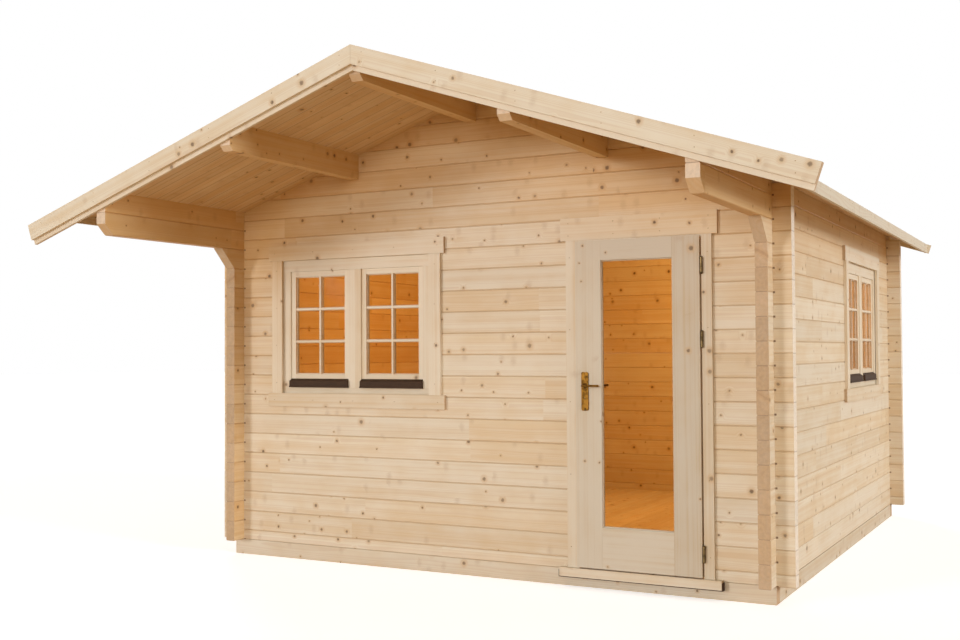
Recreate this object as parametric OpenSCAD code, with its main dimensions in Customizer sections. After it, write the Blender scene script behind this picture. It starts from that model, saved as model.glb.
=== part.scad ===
/* [Cabin] */
// Width over the outer faces of the side walls
cabin_w = 3735; // [3600:5:4200]
// Depth over the outer faces of the front and back walls
cabin_d = 3864; // [3600:4:4400]
// Log rows between the door's head row and the gable
rows_over_door = 1; // [1:1:3]
// Height of the foundation beams
beam_h = 100; // [80:5:140]

/* [Logs] */
// Thickness of a wall log
log_t = 70; // [60:1:80]
// Height of a wall log, from joint to joint
log_h = 133; // [130:1:140]
// Length that the log ends run past the corners
log_end = 104; // [90:1:140]
// Chamfer along the edges of a log
log_groove = 5; // [3:0.5:8]
// Gap between logs, and between any two seated pieces
seat_gap = 0.4; // [0.2:0.1:0.6]

/* [Floor] */
// Thickness of the floor boards
floor_t = 28; // [20:1:40]
// Height of the floor's top above the foundation beams
floor_rise = 12; // [8:1:20]
// Width of a floor joist
joist_w = 70; // [50:5:100]
// Number of floor joists
joist_count = 6; // [4:1:9]

/* [Roof] */
// Pitch of the roof in degrees
roof_pitch = 18.68; // [17:0.01:20]
// Thickness of the roof boards
roof_t = 20; // [18:1:28]
// Room between the roof and the ends of the top wall logs
roof_room = 2; // [1:0.5:6]
// Reach of the canopy in front of the front wall
canopy_reach = 1318; // [1000:2:1500]
// Reach of the roof behind the back wall
back_reach = 196; // [170:2:300]
// Reach of the eaves beyond the side walls
eave_reach = 290; // [240:5:340]
// Height of the eave fascias
fascia_h = 70; // [60:1:90]
// Thickness of the eave fascias
fascia_t = 20; // [16:1:28]

/* [Verge boards] */
// Length that the front verge boards run past the eaves
verge_reach = 255; // [150:5:300]
// Height of the front verge boards
verge_h = 98; // [90:1:120]
// Thickness of a verge board
verge_t = 20; // [16:1:26]
// Height of the verge boards' upper edge above the roof boards
verge_rise = 10; // [4:1:20]
// Height of the backing board that shows below the front verge boards
backing_drop = 28; // [18:1:40]
// Height of the back verge boards
back_verge_h = 72; // [60:1:100]
// Length that the back verge boards run past the eaves
back_verge_reach = 30; // [0:5:100]

/* [Purlins and canopy beams] */
// Thickness of a purlin
purlin_t = 70; // [60:1:90]
// Height of a purlin
purlin_h = 150; // [130:1:170]
// Distance of the side purlins from the ridge
side_purlin_x = 877; // [800:1:950]
// Chamfer under the front end of a purlin
purlin_nose = 30; // [20:1:40]
// Reach of the corbel logs in front of the front wall
corbel_reach = 236; // [200:2:400]
// Length of the chamfer under the front end of a canopy beam
beam_nose_l = 68; // [40:2:110]
// Height of the chamfer under the front end of a canopy beam
beam_nose_h = 64; // [30:2:70]

/* [Door] */
// Distance of the door's middle from the right wall's outer face
door_x = 778.5; // [720:0.5:860]
// Width of the door leaf
leaf_w = 754; // [700:2:800]
// Height of the door leaf
leaf_h = 1908; // [1890:2:1930]
// Thickness of the door leaf
leaf_t = 42; // [36:1:50]
// Width of a stile of the door leaf
stile_w = 160; // [120:2:180]
// Height of the top rail of the door leaf
top_rail_h = 117; // [90:1:140]
// Height of the bottom rail of the door leaf
bottom_rail_h = 238; // [180:2:280]
// Thickness of the glass in the door
door_glass_t = 8; // [6:1:12]
// Running gap round the door leaf
door_gap = 7; // [7:0.5:10]
// Width of the lip along the lock side and the top of the door leaf
leaf_lip = 15; // [13:1:20]
// Thickness of the door leaf's lip
lip_t = 8; // [6:0.5:12]
// Room between the door leaf's lip and the casings
lip_room = 6; // [5:0.5:8]
// Thickness of the door frame in the doorway
post_t = 34; // [28:1:44]

/* [Door trim] */
// Thickness of the casings on the outside of the walls
casing_t = 20; // [16:1:26]
// Lap of the casings over the logs beside a frame
casing_lap = 25; // [15:1:30]
// Height of the casing over the door
door_head_h = 133; // [100:1:140]
// Length that the casing over the door runs past the frame
door_head_ear = 33; // [10:1:50]
// Reach of the door sill in front of the wall
sill_reach = 45; // [38:1:70]
// Height of the door sill's front lip
sill_lip_h = 51; // [30:1:70]
// Length that the door sill runs past the frame
sill_ear = 45; // [10:1:60]

/* [Hinges] */
// Height of a hinge
hinge_h = 88; // [70:1:110]
// Radius of a hinge barrel
hinge_r = 9; // [7:0.5:11]
// Room between a hinge barrel and the door leaf's edge
hinge_room = 0.5; // [0.5:0.1:1]
// Radius of a hinge pin
pin_r = 4; // [3:0.5:4.5]
// Room between a hinge pin and its bore
pin_room = 0.3; // [0.2:0.1:0.5]
// Depth of a hinge plate in the door's gap, from the axis
hinge_plate_l = 34; // [26:1:36]
// Thickness of a hinge plate
hinge_plate_t = 1.5; // [1:0.1:1.6]

/* [Handle] */
// Height of the lever's axis above the door leaf's lower edge
lever_z = 1061; // [950:1:1100]
// Distance of the lever's axis from the door leaf's edge
lever_x = 59; // [50:1:70]
// Width of a handle plate
plate_w = 44; // [36:1:54]
// Height of a handle plate
plate_h = 226; // [190:2:250]
// Thickness of a handle plate
plate_t = 6; // [4:0.5:8]
// Radius of a handle plate's corners
plate_corner_r = 10; // [4:1:14]
// Height of a handle plate above the lever's axis
plate_over = 79; // [60:1:100]
// Length of the lever, from its axis
lever_l = 108; // [90:1:140]
// Radius of the lever's grip
grip_r = 6.5; // [6:0.5:10]
// Radius of the lever's neck
neck_r = 9.5; // [8:0.5:12]
// Distance of the lever's grip from the handle plate
grip_room = 42; // [36:1:60]
// Radius of the lever's spindle
spindle_r = 5; // [4:0.5:6]
// Room round the spindle in the door leaf and the plates
spindle_room = 0.5; // [0.3:0.1:1]

/* [Windows] */
// Distance of the front window's middle from the left wall's outer face
window_x = 988.5; // [920:0.5:1030]
// Distance of the side window's middle from the back wall's outer face
side_window_room = 1239; // [1100:1:1400]
// Log rows of the front wall beside the windows
window_rows = 7; // [6:1:7]
// Width of a window sash
sash_w = 472; // [430:1:490]
// Thickness of a window sash
sash_t = 42; // [36:1:48]
// Width of a sash's stiles and top rail
sash_stile = 36; // [30:1:60]
// Height of a sash's bottom rail
sash_foot_h = 89; // [80:1:110]
// Depth of a sash's face behind the wall's outer face
sash_set = 14; // [8:1:18]
// Thickness of the window glass
window_glass_t = 6; // [4:1:10]
// Width of the post between the two sashes
mullion_w = 98; // [60:1:120]
// Width of the window frame's side pieces
window_jamb = 82; // [70:1:110]
// Height of the window frame's head
window_head = 101; // [80:1:110]
// Height of the window frame's sill
window_sill = 52; // [40:1:60]
// Depth of the window frame's face behind the wall's outer face
window_set = 4; // [2:0.5:6]

/* [Window trim] */
// Width of the casings beside a window
window_casing_w = 83; // [70:1:100]
// Height of the casing over a window
window_head_h = 102; // [80:1:120]
// Length that the casing over a window runs past the side casings
window_head_ear = 28; // [10:1:40]
// Height of the casing under a window
window_foot_h = 90; // [70:1:110]
// Length that the casing under a window runs past the side casings
window_foot_ear = 30; // [10:1:40]
// Lap of the casing under a window over the window frame
window_foot_lap = 12; // [6:1:20]
// Height of a drip rail
drip_h = 58; // [40:1:70]
// Reach of a drip rail in front of its sash
drip_reach = 26; // [18:1:32]
// Height of the upright front of a drip rail
drip_lip = 42; // [30:1:50]
// Reach of a drip rail's foot past its front
drip_foot = 5; // [2:1:6]
// Height of a drip rail's foot
drip_foot_h = 9; // [6:1:14]

/* [Hidden] */
$fn = 48;
overrun = 6;
slope = tan(roof_pitch);
front_y = (canopy_reach - cabin_d - back_reach) / 2;
half_w = cabin_w / 2;
corner_x = half_w + log_end;
log_body_h = log_h - seat_gap;
notch_h = log_h / 4 + seat_gap / 2;
row_tolerance = log_h / 8;
floor_z = beam_h + floor_rise;

function front_row_z(row) = row == 0 ? beam_h : beam_h + log_h / 2 + (row - 1) * log_h;
function front_row_h(row) = (row == 0 ? log_h / 2 : log_h) - seat_gap;
function front_row_mid(row) = front_row_z(row) + front_row_h(row) / 2;
function side_row_z(row) = beam_h + row * log_h;
function side_row_mid(row) = side_row_z(row) + log_body_h / 2;
function beside_side_window(row) =
    side_row_mid(row) > window_z + row_tolerance && side_row_mid(row) < window_top - row_tolerance;

leaf_z = floor_z + door_gap;
leaf_top = leaf_z + leaf_h;
leaf_left = half_w - door_x - leaf_w / 2;
leaf_right = half_w - door_x + leaf_w / 2;
leaf_front = -casing_t - lip_room - lip_t;
leaf_back = leaf_front + leaf_t;
leaf_mid = (leaf_front + leaf_back) / 2;
core_left = leaf_left + leaf_lip;
core_top = leaf_top - leaf_lip;
glass_left = leaf_left + stile_w + seat_gap;
glass_right = leaf_right - stile_w - seat_gap;
glass_z = leaf_z + bottom_rail_h;
glass_top = leaf_top - top_rail_h;

doorway_left = core_left - door_gap;
doorway_right = leaf_right + door_gap;
head_z = core_top + door_gap;
door_casing_z = leaf_top + door_gap;
frame_top = door_casing_z + post_t;
door_left = leaf_left - door_gap - post_t - seat_gap;
door_right = doorway_right + post_t + seat_gap;
door_open_top = frame_top + seat_gap;
frame_left = door_left - casing_lap;
frame_right = door_right + casing_lap;

door_head_row = floor((door_open_top - front_row_z(1)) / log_h) + 1;
wall_rows = door_head_row + rows_over_door;
corbel_row = wall_rows - 2;
gable_z = front_row_z(wall_rows + 1);
roof_z = gable_z + roof_room + slope * corner_x;
gable_rows = round((roof_z - gable_z) / log_h);
function roof_under(x) = roof_z - slope * abs(x);

roof_rise = roof_t / cos(roof_pitch);
eave_x = half_w + eave_reach;
roof_x = eave_x - fascia_t - seat_gap;
verge_x = eave_x + verge_reach;
verge_top = roof_z + roof_rise + verge_rise;
canopy_y = -canopy_reach + 2 * verge_t + 2 * seat_gap;
roof_back_y = cabin_d + back_reach - verge_t - seat_gap;
purlin_z = -purlin_h + roof_z;

window_w = 2 * (window_jamb + sash_w) + mullion_w;
window_top = front_row_z(door_head_row);
window_z = window_top - window_rows * log_h;
sash_z = window_z + window_sill;
sash_h = window_top - window_head - sash_z;
sash_x = (mullion_w + sash_w) / 2;
sash_foot_z = sash_z + sash_foot_h;
side_window_y = cabin_d - side_window_room;
window_left = window_x - half_w - window_w / 2 - seat_gap;
window_right = window_x - half_w + window_w / 2 + seat_gap;
side_window_front = side_window_y - window_w / 2 - seat_gap;
side_window_back = side_window_y + window_w / 2 + seat_gap;

hinge_x = leaf_right + hinge_room + hinge_r;
hinge_y = -casing_t - hinge_room - hinge_r;
hinge_height_shares = [0.068, 0.695, 0.912];
handle_x = leaf_left + lever_x;
handle_z = leaf_z + lever_z;

pale_wood = [0.87, 0.76, 0.6];
shaded_wood = [0.75, 0.58, 0.4];
trim_wood = [0.9, 0.8, 0.65];
dark_wood = [0.29, 0.22, 0.19];
brass = [0.62, 0.48, 0.2];
dark_metal = [0.25, 0.23, 0.22];
pane = [0.75, 0.6, 0.4, 0.5];

// Moves a piece from the front wall's outer face to the middle of the building
module on_site() {
    translate([0, front_y, 0]) children();
}

// A block between two corners
module block(low, high) {
    translate(low) cube(high - low);
}

// Section of a log, with a chamfer along each edge
module log_section(h) {
    far = log_t - log_groove;
    top = h - log_groove;
    polygon([[log_groove, 0], [far, 0], [log_t, log_groove], [log_t, top],
        [far, h], [log_groove, h], [0, top], [0, log_groove]]);
}

// A log that runs from left to right
module cross_log(x0, x1, z, h) {
    translate([x0, 0, z]) rotate([90, 0, 90]) linear_extrude(x1 - x0) log_section(h);
}

// A log that runs from front to back
module long_log(y0, y1, z, h) {
    translate([0, y1, z]) rotate([90, 0, 0]) linear_extrude(y1 - y0) log_section(h);
}

// A flat outline of widths and heights, carried from front to back
module carried_back(y0, y1) {
    translate([0, y1, 0]) rotate([90, 0, 0]) linear_extrude(y1 - y0) children();
}

// A flat outline of depths and heights, carried from left to right
module carried_across(x0, x1) {
    translate([x0, 0, 0]) rotate([90, 0, 90]) linear_extrude(x1 - x0) children();
}

// The space over the roof's underside, where no log or purlin reaches
module over_roof() {
    far_x = verge_x + overrun;
    top = roof_z + 2 * log_h;
    carried_back(-canopy_reach - overrun, cabin_d + back_reach + overrun)
        polygon([[-far_x, roof_under(far_x) - seat_gap], [0, roof_z - seat_gap],
            [far_x, roof_under(far_x) - seat_gap], [far_x, top], [-far_x, top]]);
}

// Notches in a row of the front or back wall, where the side walls' logs lie across it
module cross_log_notches(z, h, foot, head) {
    for (x = [-half_w, half_w - log_t]) {
        low = [x - seat_gap, -overrun];
        high = [x + log_t + seat_gap, log_t + overrun];
        if (foot > 0) block([low.x, low.y, z - overrun], [high.x, high.y, z + foot]);
        block([low.x, low.y, z + h - head], [high.x, high.y, z + h + overrun]);
    }
}

// Notches in a row of a side wall, where the front and back walls' logs lie across it
module long_log_notches(z, head) {
    for (y = [0, cabin_d - log_t]) {
        low = [-overrun, y - seat_gap];
        high = [log_t + overrun, y + log_t + seat_gap];
        block([low.x, low.y, z - overrun], [high.x, high.y, z + notch_h]);
        if (head > 0) block([low.x, low.y, z + log_body_h - head], [high.x, high.y, z + log_h + overrun]);
    }
}

// One row of the front or back wall between two ends, notched at the corners
module cross_row(row, x0, x1) {
    z = front_row_z(row);
    h = front_row_h(row);
    difference() {
        cross_log(x0, x1, z, h);
        cross_log_notches(z, h, row == 0 ? 0 : notch_h, notch_h - seat_gap);
    }
}

// One row of a side wall between two ends, notched at the corners
module long_row(row, y0, y1) {
    z = side_row_z(row);
    difference() {
        long_log(y0, y1, z, log_body_h);
        long_log_notches(z, row == wall_rows ? 0 : notch_h - seat_gap);
    }
}

// The doorway through the front wall
module doorway() {
    block([door_left, -overrun, beam_h - overrun], [door_right, log_t + overrun, door_open_top]);
}

// The window's way through the right wall
module side_window_way() {
    block([-overrun, side_window_front, window_z - seat_gap],
        [log_t + overrun, side_window_back, window_top + seat_gap]);
}

// The corbel log: its front end slants from the corner out to the beam above it
module corbel_row_log() {
    z = side_row_z(corbel_row);
    difference() {
        long_row(corbel_row, -corbel_reach, cabin_d + log_end);
        carried_across(-overrun, log_t + overrun)
            polygon([[-log_end, z - overrun], [-log_end, z], [-corbel_reach, z + log_h],
                [-corbel_reach - overrun, z + log_h], [-corbel_reach - overrun, z - overrun]]);
    }
}

// The two top logs of a side wall, which carry the canopy
module canopy_row_logs() {
    beam = wall_rows - 1;
    z = side_row_z(beam);
    nose = canopy_y + beam_nose_l;
    difference() {
        long_row(beam, canopy_y, cabin_d + log_end);
        carried_across(-overrun, log_t + overrun)
            polygon([[nose, z], [canopy_y, z + beam_nose_h], [canopy_y - overrun, z + beam_nose_h],
                [canopy_y - overrun, z - overrun], [nose, z - overrun]]);
    }
    long_row(wall_rows, canopy_y, cabin_d + log_end);
}

// The gable's logs, cut to the roof and notched round the purlins
module gable_rows_logs() {
    for (row = [wall_rows + 1 : wall_rows + gable_rows]) {
        z = front_row_z(row);
        reach = min(half_w - log_t - seat_gap, (roof_z - z) / slope + overrun);
        difference() {
            cross_log(-reach, reach, z, log_body_h);
            over_roof();
            for (x = [-side_purlin_x, 0, side_purlin_x]) purlin_way(x, z);
        }
    }
}

// Room for a purlin in a gable's log, where the log reaches up to it
module purlin_way(x, z) {
    foot = purlin_z - slope * abs(x) - seat_gap;
    if (z + log_body_h > foot) {
        block([x - purlin_t / 2 - seat_gap, -overrun, foot],
            [x + purlin_t / 2 + seat_gap, log_t + overrun, roof_z + log_h]);
    }
}

// A purlin, from the canopy's verge to the back verge
module purlin(x) {
    left = x - purlin_t / 2;
    right = x + purlin_t / 2;
    foot = purlin_z - slope * abs(x);
    nose_y = canopy_y + purlin_nose;
    nose_z = foot + purlin_nose;
    difference() {
        block([left, canopy_y, foot], [right, roof_back_y, roof_z + log_h]);
        over_roof();
        carried_across(left - overrun, right + overrun)
            polygon([[nose_y, foot], [canopy_y, nose_z], [canopy_y - overrun, nose_z],
                [canopy_y - overrun, foot - overrun], [nose_y, foot - overrun]]);
    }
}

// Outline of a board along the right roof edge, square at its end and mitred at the ridge
module verge_outline(end_x, h) {
    foot = h / cos(roof_pitch);
    polygon([[seat_gap, verge_top - slope * seat_gap], [end_x, verge_top - slope * end_x],
        [end_x - h * sin(roof_pitch), verge_top - slope * end_x - h * cos(roof_pitch)],
        [seat_gap, verge_top - slope * seat_gap - foot]]);
}

// A pair of boards along the roof edges
module verge_pair(end_x, h, y0) {
    for (side = [0, 1]) mirror([side, 0, 0])
        carried_back(y0, y0 + verge_t) verge_outline(end_x, h);
}

// The roof boards of the right side
module roof_side() {
    carried_back(canopy_y, roof_back_y)
        polygon([[seat_gap, roof_under(seat_gap)], [roof_x, roof_under(roof_x)],
            [roof_x, roof_under(roof_x) + roof_rise], [seat_gap, roof_under(seat_gap) + roof_rise]]);
}

// A post of the door frame: a channel that clasps the log ends on its outer side
module door_post(inner, web, outer) {
    near = min(inner, outer);
    far = max(inner, outer);
    back = log_t + casing_t;
    foot = floor_z + seat_gap;
    head = door_casing_z - seat_gap;
    block([near, -casing_t, foot], [far, -seat_gap, head]);
    block([min(inner, web), -casing_t, foot], [max(inner, web), back, head]);
    block([near, log_t + seat_gap, foot], [far, back, head]);
}

// The head of the door frame, which the lip of the leaf covers in front
module door_frame_head() {
    left = doorway_left + seat_gap;
    right = doorway_right - seat_gap;
    back = log_t + casing_t;
    block([left, -casing_t, head_z], [right, back, door_casing_z - seat_gap]);
    block([left, seat_gap, head_z], [right, back, frame_top]);
    block([door_left + seat_gap, seat_gap, door_casing_z], [door_right - seat_gap, back, frame_top]);
}

// A board of the door leaf between two sides, with its lip over the frame's head
module leaf_board(left, core, right, foot) {
    block([core, leaf_front, foot], [right, leaf_back, core_top]);
    block([left, leaf_front, foot], [right, leaf_front + lip_t, leaf_top]);
}

// A handle plate with rounded corners
module handle_plate(y) {
    low = [handle_x - plate_w / 2, y, handle_z + plate_over - plate_h];
    high = low + [plate_w, plate_t, plate_h];
    in_x = [plate_corner_r, 0, 0];
    in_z = [0, 0, plate_corner_r];
    block(low + in_x, high - in_x);
    block(low + in_z, high - in_z);
    for (x = [low.x + plate_corner_r, high.x - plate_corner_r])
        for (z = [low.z + plate_corner_r, high.z - plate_corner_r])
            translate([x, y + plate_t, z]) rotate([90, 0, 0]) cylinder(h = plate_t, r = plate_corner_r);
}

// The hinge pieces that one height takes
module at_hinges() {
    for (share = hinge_height_shares)
        translate([hinge_x, hinge_y, leaf_z + share * leaf_h]) children();
}

// A pane or board of a window, centred on x
module window_block(x, w, y0, y1, z0, z1) {
    block([x - w / 2, y0, z0], [x + w / 2, y1, z1]);
}

// Puts a window's pieces into the front wall
module in_front_wall() {
    on_site() translate([window_x - half_w, 0, 0]) children();
}

// Puts a window's pieces into the right wall
module in_right_wall() {
    on_site() translate([half_w, side_window_y, 0]) rotate([0, 0, 90]) children();
}

// The window frame: two jambs, a mullion, a head and a sill
module window_frame() {
    jamb_x = (window_w - window_jamb) / 2;
    foot = sash_z - seat_gap;
    head = sash_z + sash_h + seat_gap;
    color(trim_wood) {
        for (x = [-jamb_x, jamb_x])
            window_block(x, window_jamb, window_set, log_t, foot, head);
        window_block(0, mullion_w, window_set, log_t, foot, head);
        window_block(0, window_w, window_set, log_t, window_z + seat_gap, foot - seat_gap);
        window_block(0, window_w, window_set, log_t, head + seat_gap, window_top - seat_gap);
    }
}

// The two sashes: each has two stiles, a top rail and a deeper bottom rail
module window_sashes() {
    back = sash_set + sash_t;
    top = sash_z + sash_h;
    stile_x = (sash_w - sash_stile) / 2 - seat_gap;
    rail_w = sash_w - 2 * sash_stile - 4 * seat_gap;
    color(trim_wood) for (x = [-sash_x, sash_x]) {
        for (side = [-stile_x, stile_x])
            window_block(x + side, sash_stile, sash_set, back, sash_z, top);
        window_block(x, rail_w, sash_set, back, sash_z, sash_foot_z);
        window_block(x, rail_w, sash_set, back, top - sash_stile, top);
    }
}

// The panes of the two sashes
module window_glass() {
    w = sash_w - 2 * sash_stile - 4 * seat_gap;
    mid = sash_set + sash_t / 2;
    color(pane) for (x = [-sash_x, sash_x])
        window_block(x, w, mid - window_glass_t / 2, mid + window_glass_t / 2,
            sash_foot_z + seat_gap, sash_z + sash_h - sash_stile - seat_gap);
}

// The drip rails on the foot of the sashes, with a slanting top and a foot
module window_drip_rails() {
    face = sash_set - seat_gap;
    front = face - drip_reach;
    foot_z = sash_z + drip_foot_h;
    color(dark_wood) for (x = [-sash_x, sash_x])
        carried_across(x - sash_w / 2, x + sash_w / 2)
            polygon([[face, sash_z], [face, sash_z + drip_h], [front, sash_z + drip_lip],
                [front, foot_z], [front - drip_foot, foot_z], [front - drip_foot, sash_z]]);
}

// The casing boards round a window
module window_casing() {
    inner = window_w / 2 - casing_lap;
    outer = inner + window_casing_w;
    foot = window_z + window_foot_lap;
    head = window_top - casing_lap;
    color(trim_wood) {
        for (x = [-inner - window_casing_w / 2, inner + window_casing_w / 2])
            window_block(x, window_casing_w, -casing_t, -seat_gap, foot + seat_gap, head - seat_gap);
        window_block(0, 2 * (outer + window_head_ear), -casing_t, -seat_gap, head, head + window_head_h);
        window_block(0, 2 * (outer + window_foot_ear), -casing_t, -seat_gap, foot - window_foot_h, foot);
    }
}

module foundation_beams() {
    top = beam_h - seat_gap;
    inner_x = half_w - log_t;
    inner_y = log_t + seat_gap;
    joist_top = floor_z - floor_t - seat_gap;
    joist_room = (cabin_d - 2 * inner_y - joist_count * joist_w) / (joist_count - 1);
    color(shaded_wood) on_site() {
        for (y = [0, cabin_d - log_t]) block([-half_w, y, 0], [half_w, y + log_t, top]);
        for (x = [-half_w, inner_x])
            block([x, inner_y, 0], [x + log_t, cabin_d - inner_y, top]);
        for (i = [0 : joist_count - 1]) {
            y = inner_y + seat_gap + i * (joist_w + joist_room - 2 * seat_gap / (joist_count - 1));
            block([-inner_x + seat_gap, y, 0], [inner_x - seat_gap, y + joist_w, joist_top]);
        }
    }
}

module floor_boards() {
    x = half_w - log_t - seat_gap;
    y = log_t + seat_gap;
    color(shaded_wood) on_site()
        block([-x, y, floor_z - floor_t], [x, cabin_d - y, floor_z]);
}

module front_logs_under_window() {
    color(pale_wood) on_site()
        for (row = [0 : wall_rows]) if (front_row_mid(row) < window_z)
            cross_row(row, -corner_x, door_left);
}

module front_logs_left_of_window() {
    color(pale_wood) on_site()
        for (row = [0 : wall_rows])
            if (front_row_mid(row) > window_z && front_row_mid(row) < window_top)
                cross_row(row, -corner_x, window_left);
}

module front_logs_beside_door() {
    color(pale_wood) on_site()
        for (row = [0 : wall_rows])
            if (front_row_mid(row) > window_z && front_row_mid(row) < door_open_top)
                cross_row(row, front_row_mid(row) < window_top ? window_right : -corner_x, door_left);
}

module front_logs_right_of_door() {
    color(pale_wood) on_site()
        for (row = [0 : wall_rows]) if (front_row_mid(row) < door_open_top)
            cross_row(row, door_right, corner_x);
}

module front_logs_over_door() {
    color(pale_wood) on_site()
        for (row = [0 : wall_rows]) if (front_row_mid(row) > door_open_top)
            difference() {
                cross_row(row, -corner_x, corner_x);
                if (front_row_z(row) < door_open_top) doorway();
            }
}

module front_gable_logs() {
    color(shaded_wood) on_site() gable_rows_logs();
}

module back_logs() {
    color(pale_wood) on_site() translate([0, cabin_d - log_t, 0])
        for (row = [0 : wall_rows]) cross_row(row, -corner_x, corner_x);
}

module back_gable_logs() {
    color(pale_wood) on_site() translate([0, cabin_d - log_t, 0]) gable_rows_logs();
}

module left_logs() {
    color(pale_wood) on_site() translate([-half_w, 0, 0]) {
        for (row = [0 : corbel_row - 1]) long_row(row, -log_end, cabin_d + log_end);
        corbel_row_log();
    }
}

module left_canopy_logs() {
    color(shaded_wood) on_site() difference() {
        translate([-half_w, 0, 0]) canopy_row_logs();
        over_roof();
    }
}

module right_logs_under_window() {
    color(pale_wood) on_site() translate([half_w - log_t, 0, 0])
        for (row = [0 : corbel_row - 1]) if (side_row_mid(row) < window_z + row_tolerance)
            difference() {
                long_row(row, -log_end, cabin_d + log_end);
                if (side_row_z(row) + log_h > window_z + seat_gap) side_window_way();
            }
}

module right_logs_front_of_window() {
    color(pale_wood) on_site() translate([half_w - log_t, 0, 0])
        for (row = [0 : corbel_row - 1]) if (beside_side_window(row))
            long_row(row, -log_end, side_window_front);
}

module right_logs_behind_window() {
    color(pale_wood) on_site() translate([half_w - log_t, 0, 0])
        for (row = [0 : corbel_row - 1]) if (beside_side_window(row))
            long_row(row, side_window_back, cabin_d + log_end);
}

module right_corbel_log() {
    color(pale_wood) on_site() translate([half_w - log_t, 0, 0]) difference() {
        union() {
            for (row = [0 : corbel_row - 1]) if (side_row_mid(row) > window_top - row_tolerance)
                long_row(row, -log_end, cabin_d + log_end);
            corbel_row_log();
        }
        side_window_way();
    }
}

module right_canopy_logs() {
    color(shaded_wood) on_site() difference() {
        translate([half_w - log_t, 0, 0]) canopy_row_logs();
        over_roof();
    }
}

module ridge_purlin() {
    color(shaded_wood) on_site() purlin(0);
}

module left_purlin() {
    color(shaded_wood) on_site() purlin(-side_purlin_x);
}

module right_purlin() {
    color(shaded_wood) on_site() purlin(side_purlin_x);
}

module left_roof_boards() {
    color(shaded_wood) on_site() mirror([1, 0, 0]) roof_side();
}

module right_roof_boards() {
    color(shaded_wood) on_site() roof_side();
}

module front_verge_boards() {
    color(trim_wood) on_site() verge_pair(verge_x, verge_h, -canopy_reach);
}

module front_verge_backing() {
    color(trim_wood) on_site()
        verge_pair(verge_x, verge_h + backing_drop, -canopy_reach + verge_t + seat_gap);
}

module back_verge_boards() {
    color(trim_wood) on_site() verge_pair(eave_x + back_verge_reach, back_verge_h, roof_back_y + seat_gap);
}

module eave_fascias() {
    top = roof_under(roof_x) + roof_rise;
    color(trim_wood) on_site() for (side = [0, 1]) mirror([side, 0, 0])
        block([eave_x - fascia_t, canopy_y, top - fascia_h], [eave_x, roof_back_y, top]);
}

module door_frame() {
    color(trim_wood) on_site() {
        door_post(doorway_left, door_left + seat_gap, frame_left);
        door_post(doorway_right, door_right - seat_gap, frame_right);
        door_frame_head();
    }
}

module door_head_casing() {
    color(trim_wood) on_site()
        block([frame_left - door_head_ear, -casing_t, door_casing_z],
            [frame_right + door_head_ear, -seat_gap, door_casing_z + door_head_h]);
}

module door_sill() {
    color(trim_wood) on_site() {
        block([door_left + seat_gap, -sill_reach, beam_h], [door_right - seat_gap, log_t, floor_z]);
        block([frame_left - sill_ear, -sill_reach, floor_z - sill_lip_h],
            [frame_right + sill_ear, -seat_gap, floor_z]);
    }
}

module door_hinge_pins() {
    barrel_h = hinge_h / 2 - seat_gap;
    plate_x = doorway_right - seat_gap - hinge_x;
    color(dark_metal) on_site() at_hinges() translate([0, 0, -hinge_h / 2]) {
        cylinder(h = barrel_h, r = hinge_r);
        cylinder(h = hinge_h, r = pin_r);
        block([plate_x - hinge_plate_t, 0, 0], [plate_x, hinge_plate_l, barrel_h]);
    }
}

module door_leaf() {
    color(trim_wood) on_site() {
        leaf_board(leaf_right - stile_w, leaf_right - stile_w, leaf_right, leaf_z);
        leaf_board(glass_left, glass_left, glass_right, glass_top);
        block([glass_left, leaf_front, leaf_z], [glass_right, leaf_back, glass_z]);
        difference() {
            leaf_board(leaf_left, core_left, leaf_left + stile_w, leaf_z);
            translate([handle_x, leaf_back + overrun, handle_z]) rotate([90, 0, 0])
                cylinder(h = leaf_t + 2 * overrun, r = spindle_r + spindle_room);
        }
    }
}

module door_glass() {
    color(pane) on_site()
        block([glass_left, leaf_mid - door_glass_t / 2, glass_z + seat_gap],
            [glass_right, leaf_mid + door_glass_t / 2, glass_top - seat_gap]);
}

module door_hinge_knuckles() {
    plate_x = leaf_right + seat_gap - hinge_x;
    color(dark_metal) on_site() at_hinges() difference() {
        union() {
            translate([0, 0, seat_gap]) cylinder(h = hinge_h / 2 - seat_gap, r = hinge_r);
            block([plate_x, 0, seat_gap], [plate_x + hinge_plate_t, hinge_plate_l, hinge_h / 2]);
        }
        translate([0, 0, -overrun]) cylinder(h = hinge_h, r = pin_r + pin_room);
    }
}

module door_handle_plates() {
    color(brass) on_site() for (y = [leaf_front - plate_t - seat_gap, leaf_back + seat_gap])
        difference() {
            handle_plate(y);
            translate([handle_x, y + plate_t + overrun, handle_z]) rotate([90, 0, 0])
                cylinder(h = plate_t + 2 * overrun, r = spindle_r + spindle_room);
        }
}

module door_lever() {
    grip_y = leaf_t / 2 + plate_t + grip_room + grip_r;
    neck_y = leaf_t / 2 + plate_t + 2 * seat_gap;
    color(brass) on_site() translate([handle_x, leaf_mid, handle_z]) {
        rotate([90, 0, 0]) cylinder(h = 2 * grip_y, r = spindle_r, center = true);
        for (side = [0, 1]) mirror([0, side, 0]) {
            translate([0, -neck_y, 0]) rotate([90, 0, 0])
                cylinder(h = grip_y + grip_r - neck_y, r = neck_r);
            translate([0, -grip_y, 0]) rotate([0, 90, 0])
                cylinder(h = lever_l - grip_r, r = grip_r);
            translate([lever_l - grip_r, -grip_y, 0]) sphere(r = grip_r);
        }
    }
}

module front_window_frame() {
    in_front_wall() window_frame();
}

module front_window_sashes() {
    in_front_wall() window_sashes();
}

module front_window_glass() {
    in_front_wall() window_glass();
}

module front_window_drip_rails() {
    in_front_wall() window_drip_rails();
}

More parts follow.
